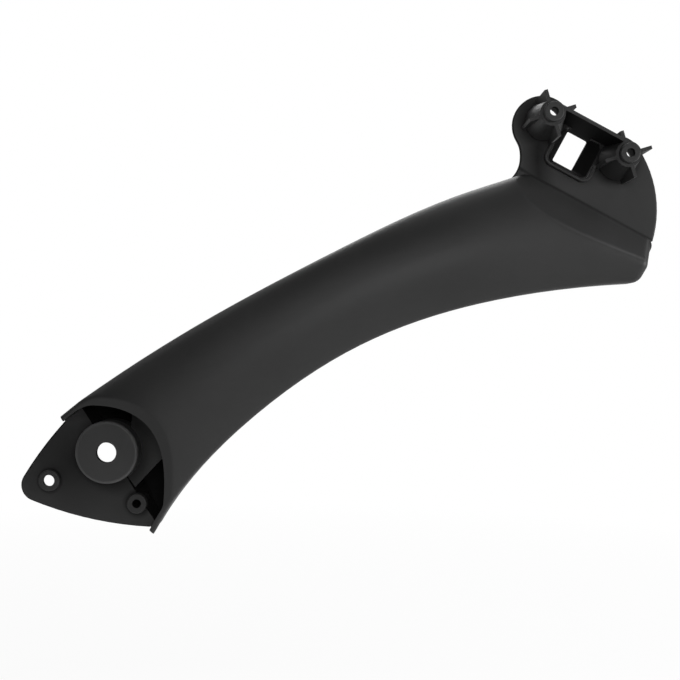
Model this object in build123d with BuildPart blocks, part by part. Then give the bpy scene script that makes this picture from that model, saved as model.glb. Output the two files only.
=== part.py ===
from build123d import *
from math import cos, radians, sin, sqrt, tan
import os

os.makedirs("parts", exist_ok=True)

# One-piece moulded pull handle for a car door. x runs along the door, z up and y from the door to the cabin.
# The origin is the bolt axis on the face of the bolt seat, which lies against the door.
# Plan sizes lie in the plane of the plates' door side. Heights are measured from it towards the door.

# Walls
wall = 2.8
plate_thickness = 3.0
plate_edge_radius = 1.0

# Grip outline
top_edge_points = [(-24.4, 16.4), (43.3, 60.8), (111.1, 97.2), (169.1, 123.6), (188.4, 130.0)]
top_corner = (201.6, 134.4)
crease_end = (263.0, 100.9)
lower_corner = (253.6, 80.8)
bottom_edge_points = [(188.3, 73.1), (120.6, 50.9), (67.3, 14.7), (33.2, -21.0), (20.8, -40.6)]
lower_corner_radius = 6.0
crease_corner_radius = 4.0
foot_radius = 4.5

# Grip section at the lower end, the middle and the upper end of its mid line
spine_points = [(-17.0, -26.5), (124.5, 78.3), (290.0, 114.2)]
half_widths = [41.0, 23.5, 33.0]
door_crests = [22.5, 18.5, 15.5]
door_edges = [8.5, 8.5, 10.0]
cabin_crests = [12.0, 13.0, 11.0]
cabin_edges = [7.0, 7.0, 7.0]
skin_margin = 5.0
top_roll_radius = 9.0
bottom_roll_radius = 4.0
cabin_roll_radius = 3.5
inner_roll_radius = 2.0
inset_steps = [0, 0.2, 0.4, 0.6, 0.8]
hollow_overrun = 2.0

# Ends of the grip
mouth_angle = 25.8
mouth_edge_radius = 2.4
foot_height = 2.0
ramp_start = (-12.5, 18.3)
ramp_end = (20.5, -33.0)
ramp_angle = 62.0
facet_angle = 44.0
ridge_radius = 5.0
crease_radius = 1.5
crease_length = 60.0

# Bolt seat with its cup on the cabin side
seat_height = 10.0
seat_radius = 15.0
seat_wall = 3.0
seat_edge_radius = 1.4
bolt_hole_radius = 4.8
cup_radius = 11.2
collar_radius = 16.0
collar_fillet = 3.0

# Web from the bolt seat into the grip
web_thickness = 2.5
web_slot_start = (9.6, 10.5)
web_slot_end = (12.5, 38.0)
web_far_end = (38.0, 54.0)
web_slant_end = (52.0, 25.0)
web_slant_start = (11.7, -17.8)

# Lower plate with its locating boss and pilot boss
lower_plate_start = (-22.0, 14.6)
lower_plate_side = (-34.2, -0.3)
lower_plate_tip = (-47.0, -20.5)
lower_plate_under = (-14.9, -32.1)
lower_plate_end = (18.6, -37.2)
lower_tip_radius = 8.0
locating_centre = (-29.3, -14.3)
locating_radius = 5.2
locating_height = 3.0
locating_hole_radius = 2.75
locating_end_wall = 2.0
locating_core_radius = 4.0
pilot_centre = (13.2, -25.2)
pilot_radius = 4.9
pilot_height = 4.0
pilot_hole_radius = 2.1
pilot_depth = 7.0
small_edge_radius = 0.8

# Upper plate, with its own centre between the two posts
upper_centre = (227.2, 149.2)
upper_tilt = 28.5
lobe_radius = 14.5
lobe_drop = 1.6
lobe_fillet = 4.0
top_side_offset = 6.0
neck_inset = 3.9
neck_drop = 15.4
neck_end = (187.8, 128.6)
neck_radius = 12.0
plate_root = (240.0, 100.0)
right_arc_start = (262.4, 101.2)
right_arc_middle = (264.6, 116.0)
right_arc_shift = (13.4, 5.2)
right_arc_radius = 6.0

# Screw posts, their fins and the wall between them
post_spacing = 40.0
post_radius = 6.0
post_draft = 9.0
shoulder_height = 20.5
ring_radius = 4.6
ring_height = 24.0
ring_edge_radius = 0.6
post_hole_radius = 2.0
post_end_wall = 2.5
post_core_radius = 7.8
post_core_draft = 11.3
fin_reach = 11.2
fin_thickness = 1.6
bridge_offset = 4.8

# Pocket with a window in its floor and a low bead on its lower sides, which runs up to the fins
bead_width = 25.0
bead_bottom = 17.4
bead_top = 7.0
bead_wall = 1.7
bead_height = 3.0
bead_corner_radius = 4.5
bead_edge_radius = 0.7
pocket_gap = 0.6
pocket_depth = 8.0
pocket_wall = 2.0
pocket_corner_radius = 2.5
window_centre = (-1.5, -3.9)
window_width = 10.8
window_height = 16.5
window_corner_radius = 0.8

door_face = Plane.XZ.offset(-seat_height)
towards_door = Vector(0, -1, 0)
reach = 40.0
overrun = 40.0


def point(pair, height=0.0):
    """Place on or above the plates' plane, in the part's frame."""
    return door_face.from_local_coords(Vector(*pair, height))


def line_plane(start, end, shift=0.0):
    """Plane across a line: x to the line's left, y towards the door."""
    along = (point(end) - point(start)).normalized()
    left = towards_door.cross(along)
    middle = (point(start) + point(end)) / 2
    return Plane(middle + left * shift, x_dir=left, z_dir=left.cross(towards_door))


def round_top(spot, radius):
    """Edge of the flat top face at a spot of the handle, rounded."""
    fillet(handle.faces().sort_by_distance(spot)[0].edges(), radius)


def corner_of(sketch, pair):
    """Corner of a sketch at a place in its plane."""
    return sketch.vertices().sort_by_distance(Vector(*pair))[0]


def prism(plane, *corners):
    """Polygon run out far to both sides of its plane."""
    with BuildPart() as solid:
        with BuildSketch(plane):
            Polygon(*corners, align=None)
        extrude(amount=100, both=True)
    return solid.part


def skin(side, crests, edges, inset):
    """Lofted skin of the grip with all that lies under it: side 1 faces the door, -1 the cabin."""
    with BuildLine(door_face) as path:
        ThreePointArc(*spine_points)
    spine = path.edge()
    with BuildPart() as form:
        for i, t in enumerate((0, 0.5, 1)):
            rise = crests[i] - edges[i]
            radius = (half_widths[i] ** 2 + rise**2) / (2 * rise) - inset
            span = half_widths[i] + skin_margin - inset
            crest = crests[i] - inset
            end = crest - radius + sqrt(radius**2 - span**2)
            along = spine % t
            station = Plane(spine @ t, x_dir=towards_door.cross(along), z_dir=along)
            with BuildSketch(station):
                with BuildLine():
                    arc = ThreePointArc((-span, side * end), (0, side * crest), (span, side * end))
                    Polyline(arc @ 1, (span, -side * reach), (-span, -side * reach), arc @ 0)
                make_face()
        loft()
    return form.part


def grip_edges():
    """Closed outline of the grip."""
    top_edge = Spline(*top_edge_points, top_corner)
    Polyline(top_corner, crease_end, lower_corner)
    bottom_edge = Spline(lower_corner, *bottom_edge_points)
    Line(bottom_edge @ 1, top_edge @ 0)


def inset(edge, t):
    """Place one wall inside an edge of the outline, which runs clockwise."""
    return edge @ t + (edge % t).rotate(Axis.Z, -90) * wall


def inset_corner(corner, way_in, way_out):
    """Place one wall inside both lines that meet at a corner of the outline."""
    first, second = (way.normalized().rotate(Axis.Z, -90) for way in (way_in, way_out))
    return corner + (first + second) * (wall / (1 + first.dot(second)))


foot_top = top_edge_points[0]
foot_bottom = bottom_edge_points[-1]
mouth_line = line_plane(foot_top, foot_bottom)
ramp_line = line_plane(ramp_start, ramp_end)
crease_line = line_plane(crease_end, top_corner)
facet_line = line_plane(crease_end, top_corner, wall / sin(radians(facet_angle)))
mouth_run = reach / tan(radians(mouth_angle))
facet_run = reach / tan(radians(facet_angle))
ramp_drop = reach * tan(radians(ramp_angle))
crease_tangent = crease_radius * tan(radians(facet_angle / 2))
end_slope = (Vector(*crease_end) - Vector(*lower_corner)).normalized()
end_run = Vector(*crease_end) + end_slope * overrun

# Door side of the grip, run on past the crease and then cut to the sloping facet and the mouth
with BuildPart() as crown:
    with BuildSketch(door_face) as crown_outline:
        with BuildLine():
            top_edge = Spline(*top_edge_points, top_corner)
            top_run = Line(top_edge @ 1, (top_edge @ 1) + (top_edge % 1) * overrun)
            Polyline(top_run @ 1, end_run, lower_corner)
            bottom_edge = Spline(lower_corner, *bottom_edge_points)
            Line(bottom_edge @ 1, top_edge @ 0)
        make_face()
        fillet(corner_of(crown_outline, lower_corner), lower_corner_radius)
    extrude(amount=reach)
    add(skin(1, door_crests, door_edges, 0), mode=Mode.INTERSECT)
    rim = crown.faces().sort_by(Axis.Y)[0].edges()
    fillet(rim.sort_by(SortBy.LENGTH)[-2], top_roll_radius)
    rim = crown.faces().sort_by(Axis.Y)[0].edges()
    fillet(rim.sort_by_distance(point(bottom_edge_points[1]))[0], bottom_roll_radius)
    add(
        prism(crease_line, (0, 0), (facet_run, reach), (-2 * overrun, reach), (-2 * overrun, 0)),
        mode=Mode.SUBTRACT,
    )
    facet_normal = towards_door * cos(radians(facet_angle)) - crease_line.x_dir * sin(radians(facet_angle))
    facet = crown.faces().sort_by(lambda face: face.normal_at().dot(facet_normal))[-1]
    facet_rim = facet.edges().sort_by(Axis.Y)[:-1]
    fillet(facet_rim.sort_by_distance(point(crease_end))[1:], ridge_radius)
    add(
        prism(
            mouth_line,
            (0, 0),
            (0, foot_height),
            (mouth_run, foot_height + reach),
            (-2 * overrun, foot_height + reach),
            (-2 * overrun, 0),
        ),
        mode=Mode.SUBTRACT,
    )
    mouth_normal = towards_door * cos(radians(mouth_angle)) - mouth_line.x_dir * sin(radians(mouth_angle))
    mouth = crown.faces().sort_by(lambda face: face.normal_at().dot(mouth_normal))[-1]
    fillet(mouth.edges().sort_by(Axis.Y)[:-1], mouth_edge_radius)

# Cabin side of the grip, with the collar round the bolt cup
with BuildPart() as belly:
    with BuildSketch(door_face) as belly_outline:
        with BuildLine():
            grip_edges()
        make_face()
        fillet(corner_of(belly_outline, crease_end), crease_corner_radius)
        for corner in (top_corner, lower_corner):
            fillet(corner_of(belly_outline, corner), lower_corner_radius)
        for corner in (foot_top, foot_bottom):
            fillet(corner_of(belly_outline, corner), foot_radius)
        Circle(collar_radius)
        fillet(belly_outline.vertices().sort_by_distance(Vector(0, 0))[:2], collar_fillet)
    extrude(amount=-reach)
    add(skin(-1, cabin_crests, cabin_edges, 0), mode=Mode.INTERSECT)
    fillet(belly.faces().sort_by(Axis.Y)[-1].edges(), cabin_roll_radius)

# Hollow of the grip, with a sloping floor behind the mouth and the roots of two bosses left standing
end_points = [Vector(*pair) for pair in (top_corner, crease_end, lower_corner)]
end_ways = [top_edge % 1, end_points[1] - end_points[0], end_points[2] - end_points[1], bottom_edge % 0]
hollow_ends = [inset_corner(end_points[i], *end_ways[i : i + 2]) for i in range(3)]
with BuildPart() as hollow:
    with BuildSketch(door_face) as hollow_outline:
        with BuildLine():
            top_line = Spline(*(inset(top_edge, t) for t in inset_steps), hollow_ends[0])
            Polyline(*hollow_ends)
            bottom_line = Spline(hollow_ends[2], *(inset(bottom_edge, 1 - t) for t in reversed(inset_steps)))
            bottom_end = Line(bottom_line @ 1, bottom_line @ 1 + (bottom_edge % 1) * hollow_overrun)
            top_end = Line(top_line @ 0, top_line @ 0 - (top_edge % 0) * hollow_overrun)
            Line(bottom_end @ 1, top_end @ 1)
        make_face()
        fillet(corner_of(hollow_outline, hollow_ends[2]), lower_corner_radius - wall)
    extrude(amount=reach, both=True)
    add(skin(1, door_crests, door_edges, wall), mode=Mode.INTERSECT)
    rim = hollow.faces().sort_by(Axis.Y)[0].edges()
    fillet(rim.sort_by(SortBy.LENGTH)[-2], top_roll_radius - wall)
    rim = hollow.faces().sort_by(Axis.Y)[0].edges()
    fillet(rim.sort_by(SortBy.LENGTH)[-1], inner_roll_radius)
    add(skin(-1, cabin_crests, cabin_edges, wall), mode=Mode.INTERSECT)
    add(
        prism(
            facet_line,
            (-facet_run, -reach),
            (facet_run, reach),
            (-2 * overrun, reach),
            (-2 * overrun, -reach),
        ),
        mode=Mode.SUBTRACT,
    )
    add(
        prism(ramp_line, (-overrun, 0), (0, 0), (reach, -ramp_drop), (-overrun, -ramp_drop)),
        mode=Mode.SUBTRACT,
    )
    with BuildSketch(door_face):
        Circle(seat_radius)
        with Locations(pilot_centre):
            Circle(pilot_radius)
    extrude(amount=-reach, mode=Mode.SUBTRACT)

upper_plane = Plane(
    point(upper_centre),
    x_dir=(cos(radians(upper_tilt)), 0, -sin(radians(upper_tilt))),
    z_dir=towards_door,
)
post_places = [(-post_spacing / 2, 0), (post_spacing / 2, 0)]


def upper_place(x, y):
    """Place on the upper plate, turned into the plates' plane."""
    spot = door_face.to_local_coords(upper_plane.from_local_coords(Vector(x, y)))
    return (spot.X, spot.Y)


def funnel(cover):
    """Pocket between the posts, with walls of a given thickness round it."""
    width = bead_width - 2 * (bead_wall + pocket_gap)
    bottom = bead_wall + pocket_gap - bead_bottom
    top = bridge_offset - fin_thickness / 2 - pocket_gap
    with BuildPart() as form:
        with BuildSketch(upper_plane):
            with Locations((0, (bottom + top) / 2)):
                RectangleRounded(width + 2 * cover, top - bottom + 2 * cover, pocket_corner_radius + cover)
        with BuildSketch(upper_plane.offset(-pocket_depth - cover)):
            with Locations(window_centre):
                end_width = window_width + 2 * cover
                RectangleRounded(end_width, window_height + 2 * cover, window_corner_radius + cover)
        loft()
    return form.part


top_side_left = upper_place(-post_spacing / 2, top_side_offset)
top_side_middle = upper_place(0, top_side_offset)
top_side_right = upper_place(post_spacing / 2, top_side_offset)
left_lobe, right_lobe = (upper_place(x, y - lobe_drop) for x, y in post_places)
neck_x = left_lobe[0] - lobe_radius + neck_inset
neck_start = (neck_x, left_lobe[1] - neck_drop)
right_arc_end = (right_lobe[0] + right_arc_shift[0], right_lobe[1] + right_arc_shift[1])

# Plates, which run on into the grip
with BuildPart() as plates:
    with BuildSketch(door_face) as base:
        with BuildLine():
            ThreePointArc(lower_plate_start, lower_plate_side, lower_plate_tip)
            ThreePointArc(lower_plate_tip, lower_plate_under, lower_plate_end)
            Polyline(lower_plate_end, pilot_centre, (0, 0), lower_plate_start)
        make_face()
        with BuildLine():
            ThreePointArc(right_arc_start, right_arc_middle, right_arc_end)
            Polyline(right_arc_end, top_side_right, top_side_left, (neck_x, top_side_left[1]), neck_start)
            TangentArc(neck_start, neck_end, tangent=(0, -1))
            Polyline(neck_end, plate_root, right_arc_start)
        make_face()
        with Locations(left_lobe, right_lobe):
            Circle(lobe_radius)
        fillet(corner_of(base, lower_plate_tip), lower_tip_radius)
        neck_ends = base.vertices().group_by(lambda corner: abs(corner.X - neck_x))[0]
        fillet(neck_ends.sort_by(Axis.Y)[-1], neck_radius)
        fillet(corner_of(base, right_arc_end), right_arc_radius)
        fillet(base.vertices().sort_by_distance(Vector(*top_side_middle))[:2], lobe_fillet)
    extrude(amount=-plate_thickness)
    for depth in (0, plate_thickness):
        for pair in (lower_plate_side, top_side_middle):
            fillet(plates.edges().sort_by_distance(point(pair, -depth))[0], plate_edge_radius)

with BuildPart() as handle:
    # Plates, grip and the soft crease between them
    add(plates.part)
    add(crown.part)
    add(belly.part)
    with BuildSketch(crease_line):
        with BuildLine():
            facet_foot = PolarLine((0, 0), crease_tangent, angle=facet_angle)
            plate_foot = Line((0, 0), (-crease_tangent, 0))
            RadiusArc(facet_foot @ 1, plate_foot @ 1, crease_radius)
        make_face()
    extrude(amount=crease_length / 2, both=True)
    add(hollow.part, mode=Mode.SUBTRACT)

    # Web and bolt seat
    with BuildSketch(door_face):
        Polygon((0, 0), web_slot_start, web_slot_end, web_far_end, web_slant_end, web_slant_start, align=None)
        Circle(seat_radius)
    extrude(amount=-web_thickness)
    with BuildSketch(Plane.XZ):
        Circle(seat_radius)
    extrude(amount=-seat_height - plate_thickness)
    round_top(Vector(0, 0, 0), seat_edge_radius)
    with BuildSketch(Plane.XZ.offset(-seat_wall)):
        Circle(cup_radius)
    extrude(amount=-reach, mode=Mode.SUBTRACT)
    with BuildSketch(Plane.XZ):
        Circle(bolt_hole_radius)
    extrude(amount=-seat_wall, mode=Mode.SUBTRACT)

    # Locating boss with a through hole, pilot boss with a blind hole
    with BuildSketch(door_face.offset(locating_height)):
        with Locations(locating_centre):
            Circle(locating_radius)
    extrude(amount=-locating_height)
    round_top(point(locating_centre, locating_height), small_edge_radius)
    with BuildSketch(door_face.offset(locating_height)):
        with Locations(locating_centre):
            Circle(locating_hole_radius)
    extrude(amount=-locating_end_wall, mode=Mode.SUBTRACT)
    with BuildSketch(door_face.offset(locating_height - locating_end_wall)):
        with Locations(locating_centre):
            Circle(locating_core_radius)
    extrude(amount=-reach, mode=Mode.SUBTRACT)
    with BuildSketch(door_face.offset(pilot_height)):
        with Locations(pilot_centre):
            Circle(pilot_radius)
    extrude(amount=-pilot_height)
    round_top(point(pilot_centre, pilot_height), small_edge_radius)
    with BuildSketch(door_face.offset(pilot_height)):
        with Locations(pilot_centre):
            Circle(pilot_hole_radius)
    extrude(amount=-pilot_depth, mode=Mode.SUBTRACT)

    # Posts with fins, the wall between them and the bead
    with BuildSketch(upper_plane):
        with Locations(*post_places):
            Circle(post_radius + shoulder_height * tan(radians(post_draft)))
    extrude(amount=shoulder_height, taper=post_draft)
    with BuildSketch(upper_plane):
        with Locations(*post_places):
            Circle(ring_radius)
    extrude(amount=ring_height)
    for place in post_places:
        round_top(upper_plane.from_local_coords(Vector(*place, ring_height)), ring_edge_radius)
    with BuildSketch(upper_plane):
        with Locations(*post_places):
            with Locations(Rotation(0, 0, 45), Rotation(0, 0, 135)):
                Rectangle(2 * fin_reach, fin_thickness)
        with Locations((0, bridge_offset)):
            Rectangle(post_spacing, fin_thickness)
    extrude(amount=shoulder_height)
    with BuildSketch(upper_plane):
        with BuildLine():
            Polyline(
                (-bead_width / 2, -bead_top),
                (-bead_width / 2, -bead_bottom),
                (bead_width / 2, -bead_bottom),
                (bead_width / 2, -bead_top),
            )
            fillet(vertices().sort_by(Axis.Y)[:2], bead_corner_radius)
            offset(amount=-bead_wall, side=Side.LEFT)
        make_face()
    extrude(amount=bead_height)
    for y in (-bead_bottom, bead_wall - bead_bottom):
        spot = upper_plane.from_local_coords(Vector(0, y, bead_height))
        fillet(handle.edges().sort_by_distance(spot)[0], bead_edge_radius)

    # Pocket that narrows to the window, and the posts cored from the cabin side
    add(funnel(pocket_wall))
    add(funnel(0), mode=Mode.SUBTRACT)
    with BuildSketch(upper_plane):
        with Locations(window_centre):
            RectangleRounded(window_width, window_height, window_corner_radius)
    extrude(amount=-reach, mode=Mode.SUBTRACT)
    with BuildSketch(upper_plane.offset(-plate_thickness)):
        with Locations(*post_places):
            Circle(post_core_radius)
    extrude(amount=plate_thickness + ring_height - post_end_wall, taper=post_core_draft, mode=Mode.SUBTRACT)
    with BuildSketch(upper_plane.offset(ring_height)):
        with Locations(*post_places):
            Circle(post_hole_radius)
    extrude(amount=-post_end_wall, mode=Mode.SUBTRACT)

handle.part.label = "door_pull_handle"
export_step(handle.part, "parts/door_pull_handle.step")
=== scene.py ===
import bpy
import numpy as np
from math import radians
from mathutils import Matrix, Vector


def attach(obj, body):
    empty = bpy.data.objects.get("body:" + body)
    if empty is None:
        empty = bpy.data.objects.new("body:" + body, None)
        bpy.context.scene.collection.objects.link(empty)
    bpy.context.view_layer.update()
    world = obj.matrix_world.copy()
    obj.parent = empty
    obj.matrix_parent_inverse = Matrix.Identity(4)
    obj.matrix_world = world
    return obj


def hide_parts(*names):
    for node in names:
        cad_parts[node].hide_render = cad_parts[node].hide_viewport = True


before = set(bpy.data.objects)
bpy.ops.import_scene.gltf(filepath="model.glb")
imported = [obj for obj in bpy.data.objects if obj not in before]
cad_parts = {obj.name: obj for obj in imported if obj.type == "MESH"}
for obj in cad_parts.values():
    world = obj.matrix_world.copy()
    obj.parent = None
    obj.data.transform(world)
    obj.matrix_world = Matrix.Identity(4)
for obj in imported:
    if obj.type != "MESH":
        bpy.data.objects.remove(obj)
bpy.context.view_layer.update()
scene = bpy.context.scene
scene.view_settings.view_transform = "Standard"
print("frame loaded:", sorted(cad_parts))


# nodes in short form
def addNode(tree, kind, spot, **inputs):
    node = tree.nodes.new(kind)
    node.location = spot
    for name, value in inputs.items():
        node.inputs[name].default_value = value
    return node


def wire(tree, sockets, values):
    # a socket is linked, a plain value is written
    for socket, value in zip(sockets, values):
        if isinstance(value, bpy.types.NodeSocket):
            tree.links.new(value, socket)
        else:
            socket.default_value = value


def mathNode(tree, operation, spot, *values, clamp=False):
    node = addNode(tree, "ShaderNodeMath", spot)
    node.operation, node.use_clamp = operation, clamp
    wire(tree, node.inputs, values)
    return node.outputs[0]


def vectorNode(tree, operation, spot, *values, gives="Value"):
    node = addNode(tree, "ShaderNodeVectorMath", spot)
    node.operation = operation
    wire(tree, node.inputs, values)
    return node.outputs[gives]


def rangeNode(tree, value, spot, low, high, fromLow=0.0, fromHigh=1.0):
    node = addNode(tree, "ShaderNodeMapRange", spot)
    node.clamp = True
    names = ("Value", "From Min", "From Max", "To Min", "To Max")
    wire(tree, [node.inputs[name] for name in names], (value, fromLow, fromHigh, low, high))
    return node.outputs["Result"]


def mixNode(tree, spot, first, second, share):
    # the first colour goes over to the second by its share
    node = addNode(tree, "ShaderNodeMix", spot)
    node.data_type = "RGBA"
    wire(tree, [node.inputs[name] for name in ("A", "B", "Factor")], (first, second, share))
    return node.outputs["Result"]


def objectPlace(tree, spot):
    return addNode(tree, "ShaderNodeTexCoord", spot).outputs["Object"]


def newGroup(name, floats, outputs, vectors=()):
    group = bpy.data.node_groups.new(name, "ShaderNodeTree")
    for label in vectors:
        group.interface.new_socket(label, in_out="INPUT", socket_type="NodeSocketVector")
    for label in floats:
        group.interface.new_socket(label, in_out="INPUT", socket_type="NodeSocketFloat")
    for label in outputs:
        group.interface.new_socket(label, in_out="OUTPUT", socket_type="NodeSocketFloat")
    entry = addNode(group, "NodeGroupInput", (-1000, 0))
    leave = addNode(group, "NodeGroupOutput", (700, 0))
    return group, entry.outputs, leave.inputs


# moulded grain, shared by every finish of the handle
moulded = {
    "pebbleRandom": 0.9,
    "pebbleSmooth": 0.35,
    "fineScale": 3400.0,
    "fineShare": 0.35,
    "cloudRough": 0.55,
    "cloudRange": (0.32, 0.68),
    "hairTurn": (0.0, radians(34), 0.0),  # hairlines run along the grip
    "hairStretch": (9.0, 60.0, 160.0),
    "hairScale": 2.4,
    "hairWidth": 0.004,
    "hairRange": (0.55, 0.7),             # and keep to the paler clouds
}


def mouldedGrain():
    # height = fine pebbles + soft flow, sheen = broad cloudy patches, scuff = thin sparse hairlines
    floats = ("Pebble Scale", "Pebble Share", "Cloud Scale")
    group, entry, leave = newGroup("mouldedGrain", floats, ("Height", "Sheen", "Scuff"))
    link = group.links.new
    place = objectPlace(group, (-1000, 300))

    pebble = addNode(group, "ShaderNodeTexVoronoi", (-700, 300), Randomness=moulded["pebbleRandom"])
    pebble.feature = "SMOOTH_F1"
    pebble.inputs["Smoothness"].default_value = moulded["pebbleSmooth"]
    fine = addNode(group, "ShaderNodeTexNoise", (-700, 50), Scale=moulded["fineScale"], Detail=2.0)
    cloud = addNode(group, "ShaderNodeTexNoise", (-700, -200), Detail=4.0, Roughness=moulded["cloudRough"])
    for node in (pebble, fine, cloud):
        link(place, node.inputs["Vector"])
    link(entry["Pebble Scale"], pebble.inputs["Scale"])
    link(entry["Cloud Scale"], cloud.inputs["Scale"])

    pebbleHeight = mathNode(group, "MULTIPLY", (-450, 300), pebble.outputs["Distance"], entry["Pebble Share"])
    fineHeight = mathNode(group, "MULTIPLY", (-450, 50), fine.outputs["Fac"], moulded["fineShare"])
    link(mathNode(group, "ADD", (-200, 200), pebbleHeight, fineHeight), leave["Height"])
    sheen = rangeNode(group, cloud.outputs["Fac"], (-450, -200), 0.0, 1.0, *moulded["cloudRange"])
    link(sheen, leave["Sheen"])

    # hairlines: the thin band round a stretched noise's middle value, thinned out by the clouds
    turn = addNode(group, "ShaderNodeMapping", (-900, -500),
                   Rotation=moulded["hairTurn"], Scale=moulded["hairStretch"])
    link(place, turn.inputs["Vector"])
    hair = addNode(group, "ShaderNodeTexNoise", (-700, -500), Scale=moulded["hairScale"], Detail=2.0)
    link(turn.outputs["Vector"], hair.inputs["Vector"])
    fromMiddle = mathNode(group, "SUBTRACT", (-550, -500), hair.outputs["Fac"], 0.5)
    away = mathNode(group, "ABSOLUTE", (-450, -500), fromMiddle)
    thin = rangeNode(group, away, (-300, -500), 1.0, 0.0, 0.0, moulded["hairWidth"])
    sparse = rangeNode(group, cloud.outputs["Fac"], (-300, -700), 0.0, 1.0, *moulded["hairRange"])
    link(mathNode(group, "MULTIPLY", (-100, -500), thin, sparse, clamp=True), leave["Scuff"])
    return group


def ringMask():
    # 1 on a circle round a centre in the X-Z plane, fading to 0 over a width on both sides
    group, entry, leave = newGroup("ringMask", ("Radius", "Width"), ("Mask",), ("Centre",))
    place = objectPlace(group, (-1000, 300))
    flat = vectorNode(group, "MULTIPLY", (-800, 300), place, (1, 0, 1), gives="Vector")
    away = vectorNode(group, "DISTANCE", (-600, 200), flat, entry["Centre"])
    off = mathNode(group, "SUBTRACT", (-400, 100), away, entry["Radius"])
    off = mathNode(group, "ABSOLUTE", (-200, 100), off)
    share = mathNode(group, "DIVIDE", (0, 0), off, entry["Width"])
    group.links.new(rangeNode(group, share, (200, 0), 1.0, 0.0), leave["Mask"])
    return group


grainGroup = mouldedGrain()
ringGroup = ringMask()
print("grain and ring groups made")


def ring(tree, spot, setting):
    centreX, centreZ, radius, width = setting
    node = addNode(tree, "ShaderNodeGroup", spot)
    node.node_tree = ringGroup
    sockets = [node.inputs[name] for name in ("Centre", "Radius", "Width")]
    wire(tree, sockets, ((centreX, 0, centreZ), radius, width))
    return node.outputs["Mask"]


def fromPlane(tree, place, spot, point, normal):
    # signed distance from the plane through a point
    offset = vectorNode(tree, "SUBTRACT", spot, place, point, gives="Vector")
    return vectorNode(tree, "DOT_PRODUCT", (spot[0] + 200, spot[1]), offset, normal)


def paintedLightMarks(tree, colour, marks):
    # painted shade: darker feet round the seat, bosses and posts, soft patches beside the seat and the slot,
    # a valley by the window and a dark line in the crease, these places also made rougher; painted highlight:
    # a paler seat rim and a paler band along the ridge
    place = objectPlace(tree, (-1600, 900))
    split = addNode(tree, "ShaderNodeSeparateXYZ", (-1400, 900))
    tree.links.new(place, split.inputs[0])
    # painted shade round the feet and in the soft patches, shown only on the plates
    dullShadeMask = ring(tree, (-1400, 700), marks["feet"][0])
    for row, setting in enumerate(marks["feet"][1:], 1):
        foot = ring(tree, (-1400, 700 - 200 * row), setting)
        dullShadeMask = mathNode(tree, "MAXIMUM", (-1200, 700 - 200 * row), dullShadeMask, foot)
    onPlate = rangeNode(tree, split.outputs["Y"], (-1200, 900), 0.0, marks["footShare"], *marks["plateDepth"])
    dullShadeMask = mathNode(tree, "MULTIPLY", (-1000, 900), dullShadeMask, onPlate)

    # painted shade: a dark line along the crease
    crease = fromPlane(tree, place, (-1400, 1200), marks["creasePoint"], marks["creaseAcross"])
    crease = mathNode(tree, "ABSOLUTE", (-1000, 1200), crease)
    crease = rangeNode(tree, crease, (-800, 1200), marks["creaseShare"], 0.0, *marks["creaseWidth"])
    shade = mathNode(tree, "MAXIMUM", (-600, 1000), dullShadeMask, crease)
    colour = mixNode(tree, (-400, 900), colour, (*marks["paintedShadeTone"], 1), shade)

    # painted highlight: a paler ring on the seat's rounded rim
    highlightColour = (*marks["paintedHighlightTone"], 1)
    rim = mathNode(tree, "MULTIPLY", (-600, 500), ring(tree, (-800, 500), marks["rim"]), marks["rimShare"])
    colour = mixNode(tree, (-200, 900), colour, highlightColour, rim)

    # painted highlight: the ridge is a thin band just under the plane of the facet, given a paler tone
    depth, width = marks["ridgeBand"]
    ridge = fromPlane(tree, place, (-1400, 1500), marks["creasePoint"], marks["facetNormal"])
    ridge = mathNode(tree, "ABSOLUTE", (-800, 1500), mathNode(tree, "ADD", (-1000, 1500), ridge, depth))
    ridge = rangeNode(tree, ridge, (-600, 1500), marks["ridgeShare"], 0.0, 0.0, width)
    run = rangeNode(tree, split.outputs["X"], (-600, 1300), 0.0, 1.0, *marks["ridgeRun"])
    ridge = mathNode(tree, "MULTIPLY", (-400, 1500), ridge, run)
    return mixNode(tree, (0, 900), colour, highlightColour, ridge), shade


plastic = {"refraction": 1.49, "scuffGloss": 0.06}  # the same for every finish


def blackPlastic(name, finish):
    # tone and roughness follow the clouds and hairlines, the grain's height makes the bump
    material = bpy.data.materials.new(name)
    material.use_nodes = True
    tree = material.node_tree
    link = tree.links.new
    shader = tree.nodes["Principled BSDF"]
    shader.inputs["IOR"].default_value = plastic["refraction"]
    shader.inputs["Specular IOR Level"].default_value = finish["specular"]
    grain = addNode(tree, "ShaderNodeGroup", (-800, 0))
    grain.node_tree = grainGroup
    names = ("Pebble Scale", "Pebble Share", "Cloud Scale")
    values = (finish["pebbleScale"], finish["pebbleShare"], finish["cloudScale"])
    wire(tree, [grain.inputs[name] for name in names], values)
    sheen, scuff = grain.outputs["Sheen"], grain.outputs["Scuff"]

    toneShare = mathNode(tree, "ADD", (-500, 250), sheen, scuff, clamp=True)
    colour = mixNode(tree, (-300, 250), (*finish["deepTone"], 1), (*finish["paleTone"], 1), toneShare)
    rough = rangeNode(tree, sheen, (-500, 0), finish["roughLow"], finish["roughHigh"])
    scuffRough = mathNode(tree, "MULTIPLY", (-500, -150), scuff, plastic["scuffGloss"])
    rough = mathNode(tree, "SUBTRACT", (-300, 0), rough, scuffRough)
    # painted shade and painted highlight in the colour, with the shaded places made rougher
    if "marks" in finish:
        colour, shade = paintedLightMarks(tree, colour, finish["marks"])
        dullRough = mathNode(tree, "MULTIPLY", (-300, -120), shade, finish["marks"]["dullRough"])
        rough = mathNode(tree, "ADD", (-100, 0), rough, dullRough)
    link(colour, shader.inputs["Base Color"])
    link(rough, shader.inputs["Roughness"])

    bump = addNode(tree, "ShaderNodeBump", (-300, -250), Strength=finish["bump"], Distance=finish["depth"])
    link(grain.outputs["Height"], bump.inputs["Height"])
    link(bump.outputs["Normal"], shader.inputs["Normal"])
    return material


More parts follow.
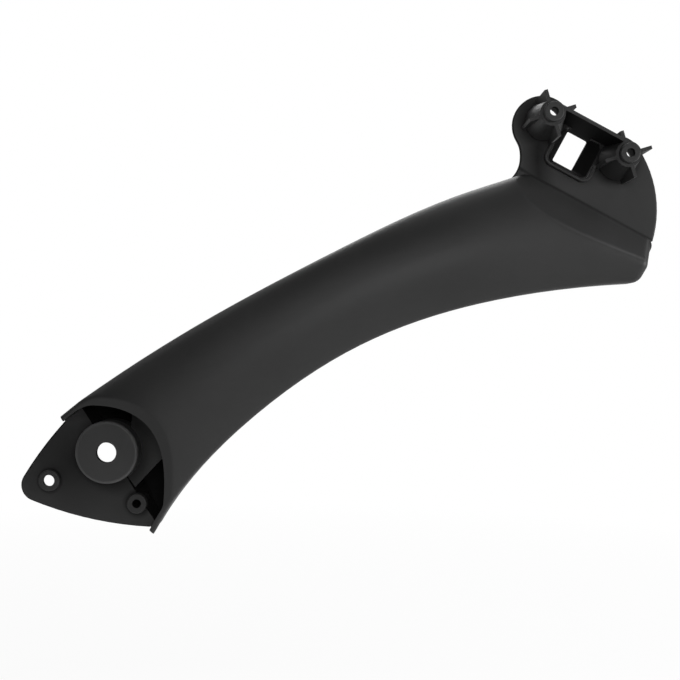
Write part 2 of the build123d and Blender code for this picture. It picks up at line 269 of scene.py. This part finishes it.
doorFinish = {  # the side that lies against the door: fine satin
    "deepTone": (0.0182, 0.0182, 0.0182),
    "paleTone": (0.0230, 0.0230, 0.0230),
    "specular": 0.22,
    "roughLow": 0.46,
    "roughHigh": 0.54,
    "pebbleScale": 1500.0,
    "pebbleShare": 0.35,
    "cloudScale": 16.0,
    "bump": 0.12,
    "depth": 0.00012,
    "marks": {
        "feet": [  # X, Z, radius and width of each ring of painted shade, a radius of 0 is a soft patch of painted shade
            (0.0, 0.0, 0.0150, 0.0090),         # bolt seat
            (-0.0170, -0.0040, 0.0, 0.0300),    # painted shadow on the sheltered side of the bolt seat
            (-0.0100, 0.0180, 0.0, 0.0100),     # painted shade at the end of the slot above the seat
            (-0.0293, -0.0143, 0.0050, 0.0030),  # boss near the tip
            (0.0132, -0.0252, 0.0050, 0.0030),  # boss beside the mouth
            (0.2096, 0.1587, 0.0095, 0.0060),   # left post
            (0.2448, 0.1397, 0.0095, 0.0045),   # right post
            (0.2565, 0.1410, 0.0500, 0.0080),   # painted shade in the shallow valley beside the window
        ],
        "footShare": 0.85,
        "plateDepth": (0.0086, 0.0094),  # feet show only this deep, on the plates
        "paintedShadeTone": (0.0042, 0.0042, 0.0042),
        "dullRough": 0.35,
        "creasePoint": (0.2016, 0.0100, 0.1344),
        "creaseAcross": (0.479, 0.0, 0.878),
        "creaseWidth": (0.0003, 0.0012),
        "creaseShare": 0.8,
        "facetNormal": (0.333, -0.719, 0.610),
        "ridgeBand": (0.00030, 0.00040),  # depth under the facet's plane, and width
        "ridgeShare": 0.45,
        "ridgeRun": (0.208, 0.240),  # the painted highlight grows along the ridge
        # painted highlight: the seat's rim and the ridge go over to this paler tone
        "rim": (0.0, 0.0, 0.0144, 0.0010),
        "rimShare": 0.9,
        "paintedHighlightTone": (0.0720, 0.0720, 0.0720),
    },
}
cabinFinish = {  # the side that people hold: pebbled grain
    "deepTone": (0.0182, 0.0182, 0.0182),
    "paleTone": (0.0245, 0.0245, 0.0245),
    "specular": 0.30,
    "roughLow": 0.48,
    "roughHigh": 0.58,
    "pebbleScale": 820.0,
    "pebbleShare": 1.0,
    "cloudScale": 11.0,
    "bump": 0.4,
    "depth": 0.00025,
}
shadedHollowFinish = {  # hollows and the pocket: smooth, with painted shade, a deeper black and less shine than the same plastic has elsewhere
    "deepTone": (0.0042, 0.0042, 0.0042),
    "paleTone": (0.0067, 0.0067, 0.0067),
    "specular": 0.03,
    "roughLow": 0.70,
    "roughHigh": 0.80,
    "pebbleScale": 2200.0,
    "pebbleShare": 0.1,
    "cloudScale": 20.0,
    "bump": 0.05,
    "depth": 0.0001,
}
litSeatFinish = dict(doorFinish, deepTone=(0.0255,) * 3, paleTone=(0.0315,) * 3)  # a paler copy of the door satin: painted light, the seat's top lit brighter than the plates
doorSatin = blackPlastic("doorSatin", doorFinish)
cabinGrain = blackPlastic("cabinGrain", cabinFinish)
shadedHollowBlack = blackPlastic("shadedHollowBlack", shadedHollowFinish)
litSeatSatin = blackPlastic("litSeatSatin", litSeatFinish)
print("plastic finishes made")


# the moulding itself
moulding = {
    "mergeDigits": 6,           # places equal to a micrometre are one vertex
    "sharpAngle": radians(32),  # edges sharper than this stay crisp
    "cabinDepth": 0.0128,       # the grained skin lies past the back of the plates
    "cabinLean": 0.12,          # and faces the cabin
    "plateFace": 0.0100,        # depth of the plates' door face
    "shellGap": 0.0001,         # inner skins lie on the door side of it by more than this
    "pocketGap": 0.0002,        # and the pocket's floor on its cabin side by more than this
    "coreLean": 0.10,
    "bridgeMiddle": (0.2272, 0.1492),  # halfway between the posts
    "bridgeTurn": radians(-28.5),
    "bridgeFace": (-0.014, 0.014, 0.0036, 0.0044),  # inner face of the wall between the posts
    "bridgeLean": 0.3,
    "seatRadius": 0.0140,
    "seatGap": 0.0002,
    "holes": np.array([  # X, Z and radius of every bore
        (0.0, 0.0, 0.0048), (-0.0293, -0.0143, 0.00275), (0.0132, -0.0252, 0.0021),
        (0.20962, 0.15874, 0.0020), (0.24478, 0.13966, 0.0020),
    ]),
    "holeGap": 0.0001,
    "holeLean": 0.5,
}


def joinedSurface(node, digits):
    # equal places become one vertex, each triangle keeps its order, slivers that close up are dropped
    source = node.data
    places = np.empty(len(source.vertices) * 3, np.float32)
    source.vertices.foreach_get("co", places)
    corners = np.empty(len(source.loops), np.int32)
    source.loops.foreach_get("vertex_index", corners)
    places = places.reshape(-1, 3)
    _, firsts, joined = np.unique(places.round(digits), axis=0, return_index=True, return_inverse=True)
    triangles = joined.ravel()[corners].reshape(-1, 3)
    a, b, c = triangles.T
    return places[firsts], triangles[(a != b) & (b != c) & (c != a)]


def meshFrom(name, places, triangles):
    # whole arrays of places and corners, three corners to a face
    mesh = bpy.data.meshes.new(name)
    mesh.vertices.add(len(places))
    mesh.vertices.foreach_set("co", places.ravel())
    mesh.loops.add(triangles.size)
    mesh.loops.foreach_set("vertex_index", triangles.ravel().astype(np.int32))
    mesh.polygons.add(len(triangles))
    mesh.polygons.foreach_set("loop_start", np.arange(0, triangles.size, 3, dtype=np.int32))
    mesh.update(calc_edges=True)
    mesh.validate()
    return mesh


def faceNormals(places, triangles):
    # cross product of two sides of every triangle, made one long
    p, q, r = (places[triangles[:, i]] for i in range(3))
    across = np.cross(q - p, r - p)
    return across / np.maximum(np.linalg.norm(across, axis=1, keepdims=True), 1e-20)


def faceFinishes(middles, normals):
    # 0 door satin, 1 cabin grain, 2 black with painted shade for the bores, hollows, pocket and the wall
    # between the posts, 3 seat satin painted paler as lit, by where each face lies and looks
    x, y, z = middles.T
    lean = normals[:, 1]
    onCabin = (y > moulding["cabinDepth"]) & (lean > moulding["cabinLean"])
    fromPlate = y - moulding["plateFace"]
    underShell = (lean > moulding["coreLean"]) & (fromPlate < -moulding["shellGap"])
    inPocket = (lean < -moulding["coreLean"]) & (fromPlate > moulding["pocketGap"])

    # the wall between the posts, in its own turned axes; its inner face gets painted shade
    turn, (bridgeX, bridgeZ) = moulding["bridgeTurn"], moulding["bridgeMiddle"]
    along = (x - bridgeX) * np.cos(turn) + (z - bridgeZ) * np.sin(turn)
    across = (z - bridgeZ) * np.cos(turn) - (x - bridgeX) * np.sin(turn)
    left, right, low, high = moulding["bridgeFace"]
    onBridge = (along > left) & (along < right) & (across > low) & (across < high)
    onBridge &= abs(lean) < moulding["bridgeLean"]

    holeX, holeZ, holeRadius = moulding["holes"].T
    fromAxis = np.hypot(x[:, None] - holeX, z[:, None] - holeZ)
    inHole = (fromAxis < holeRadius + moulding["holeGap"]).any(axis=1) & (abs(lean) < moulding["holeLean"])
    onSeat = (np.hypot(x, z) < moulding["seatRadius"]) & (abs(y) < moulding["seatGap"])
    return np.select([inHole, onCabin, underShell | inPocket | onBridge, onSeat], [2, 1, 2, 3], 0)


places, triangles = joinedSurface(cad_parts["door_pull_handle"], moulding["mergeDigits"])
handleMesh = meshFrom("mouldedHandle", places, triangles)
handleMesh.shade_smooth()
handleMesh.set_sharp_from_angle(angle=moulding["sharpAngle"])
for finish in (doorSatin, cabinGrain, shadedHollowBlack, litSeatSatin):
    handleMesh.materials.append(finish)
finishes = faceFinishes(places[triangles].mean(axis=1), faceNormals(places, triangles))
handleMesh.polygons.foreach_set("material_index", finishes.astype(np.int32))
handle = bpy.data.objects.new("moulded_handle", handleMesh)
scene.collection.objects.link(handle)
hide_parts("door_pull_handle")
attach(handle, "root")
print("handle:", len(places), "vertices", len(triangles), "triangles")


# floor, white room and light
studio = {
    "floorHeight": -0.16,
    "floorHalf": 6.0,
    "floorColor": (0.82, 0.82, 0.82, 1),
    "floorRough": 0.9,
    "floorWhite": 0.9,       # share of plain white that the camera sees, the rest keeps the shadow
    "fade": (0.25, 0.85),    # distance over which the floor goes over to plain white
    "ambient": 0.06,         # world strength for light on the object
    "roomWhite": 0.36,       # share of white in mirrored rays
    "roomTurn": (0.0, 0.6),  # mirrored rays that run on past the handle meet the white side of the room
}


def seenRays(tree, spot, mirrorShare=None):
    # 1 for rays from the camera and through glass, and for mirrored rays by their share
    x, y = spot
    path = addNode(tree, "ShaderNodeLightPath", spot).outputs
    mirror = path["Is Glossy Ray"]
    if mirrorShare is not None:
        mirror = mathNode(tree, "MULTIPLY", (x + 100, y - 200), mirror, mirrorShare)
    plain = mathNode(tree, "MAXIMUM", (x + 200, y), path["Is Camera Ray"], path["Is Transmission Ray"])
    return mathNode(tree, "MAXIMUM", (x + 400, y), plain, mirror)


def paleFloor():
    # a flat square, matt and pale, plain white to the camera further out
    half = studio["floorHalf"]
    spread = np.array([[-half, -half], [half, -half], [half, half], [-half, half]], np.float32)
    corners = np.column_stack([spread, np.full(4, studio["floorHeight"], np.float32)])
    mesh = bpy.data.meshes.new("paleFloor")
    mesh.from_pydata(corners.tolist(), [], [(0, 1, 2, 3)])
    material = bpy.data.materials.new("paleFloor")
    material.use_nodes = True
    tree = material.node_tree
    matt = tree.nodes["Principled BSDF"]
    matt.inputs["Base Color"].default_value = studio["floorColor"]
    matt.inputs["Roughness"].default_value = studio["floorRough"]
    white = addNode(tree, "ShaderNodeEmission", (0, -300), Strength=1.0)
    reach = vectorNode(tree, "LENGTH", (-700, 600), objectPlace(tree, (-900, 600)))
    fade = rangeNode(tree, reach, (-500, 600), studio["floorWhite"], 1.0, *studio["fade"])
    seen = mathNode(tree, "MULTIPLY", (100, 300), seenRays(tree, (-500, 300)), fade)
    blend = addNode(tree, "ShaderNodeMixShader", (300, 0))
    wire(tree, blend.inputs, (seen, matt.outputs[0], white.outputs[0]))
    tree.links.new(blend.outputs[0], tree.nodes["Material Output"].inputs["Surface"])
    mesh.materials.append(material)
    floor = bpy.data.objects.new("pale_floor", mesh)
    scene.collection.objects.link(floor)


def whiteWorld():
    # white to the camera, dim to the handle, part white to mirrored rays that run on past it
    world = bpy.data.worlds.new("whiteRoom")
    scene.world = world
    world.use_nodes = True
    tree = world.node_tree
    shown = tree.nodes["Background"]
    shown.inputs["Color"].default_value = (1, 1, 1, 1)
    split = addNode(tree, "ShaderNodeSeparateXYZ", (-1000, -300))
    around = addNode(tree, "ShaderNodeTexCoord", (-1200, -300)).outputs["Generated"]
    tree.links.new(around, split.inputs[0])
    behind = rangeNode(tree, split.outputs["Y"], (-850, -300), 0.0, studio["roomWhite"], *studio["roomTurn"])
    strength = rangeNode(tree, seenRays(tree, (-700, 0), behind), (-100, 0), studio["ambient"], 1.0)
    tree.links.new(strength, shown.inputs["Strength"])


softLamps = {  # place, aim, size and watts of each soft box
    "rightBox": ((0.87, -0.25, 0.06), (0.11, 0.0, 0.06), 0.3, 4.8),
    "highRight": ((0.56, -0.38, 0.62), (0.11, 0.0, 0.06), 0.3, 0.55),
    "lowRight": ((0.50, -0.54, -0.40), (0.11, 0.0, 0.06), 0.3, 0.58),
    "lowFront": ((0.15, -0.70, -0.25), (0.13, 0.0, 0.06), 0.3, 0.28),
    "nearFront": ((0.18, -0.49, 0.12), (0.14, 0.0, 0.085), 0.12, 0.67),
    "upLeft": ((-0.04, -0.70, 0.42), (0.11, 0.0, 0.06), 0.3, 0.90),
    "topBehind": ((0.20, 0.25, 0.75), (0.13, 0.0, 0.08), 0.3, 1.90),
    "rimLeft": ((-0.35, 0.10, 0.60), (0.13, 0.0, 0.08), 0.3, 0.55),
    "cabinBox": ((0.12, 0.70, 0.75), (0.11, 0.0, 0.06), 0.6, 4.0),
}


def softBox(name, place, aim, size, watts):
    lamp = bpy.data.lights.new(name, "AREA")
    lamp.size, lamp.energy = size, watts
    box = bpy.data.objects.new(name, lamp)
    box.location = place
    toward = Vector(aim) - Vector(place)
    box.rotation_euler = toward.to_track_quat("-Z", "Y").to_euler()
    scene.collection.objects.link(box)


paleFloor()
whiteWorld()
for name, setting in softLamps.items():
    softBox(name, *setting)
print("studio made")


# camera square on to the door side
view = {
    "place": (0.1109, -0.474, 0.0534),
    "turn": (radians(90), 0, 0),
    "focal": 52.94,
    "sensor": 36.0,
    "nearest": 0.01,
}
cameraData = bpy.data.cameras.new("photoCamera")
cameraData.lens, cameraData.sensor_width = view["focal"], view["sensor"]
cameraData.clip_start = view["nearest"]
camera = bpy.data.objects.new("photoCamera", cameraData)
camera.location, camera.rotation_euler = view["place"], view["turn"]
scene.collection.objects.link(camera)
scene.camera = camera
print("camera placed")
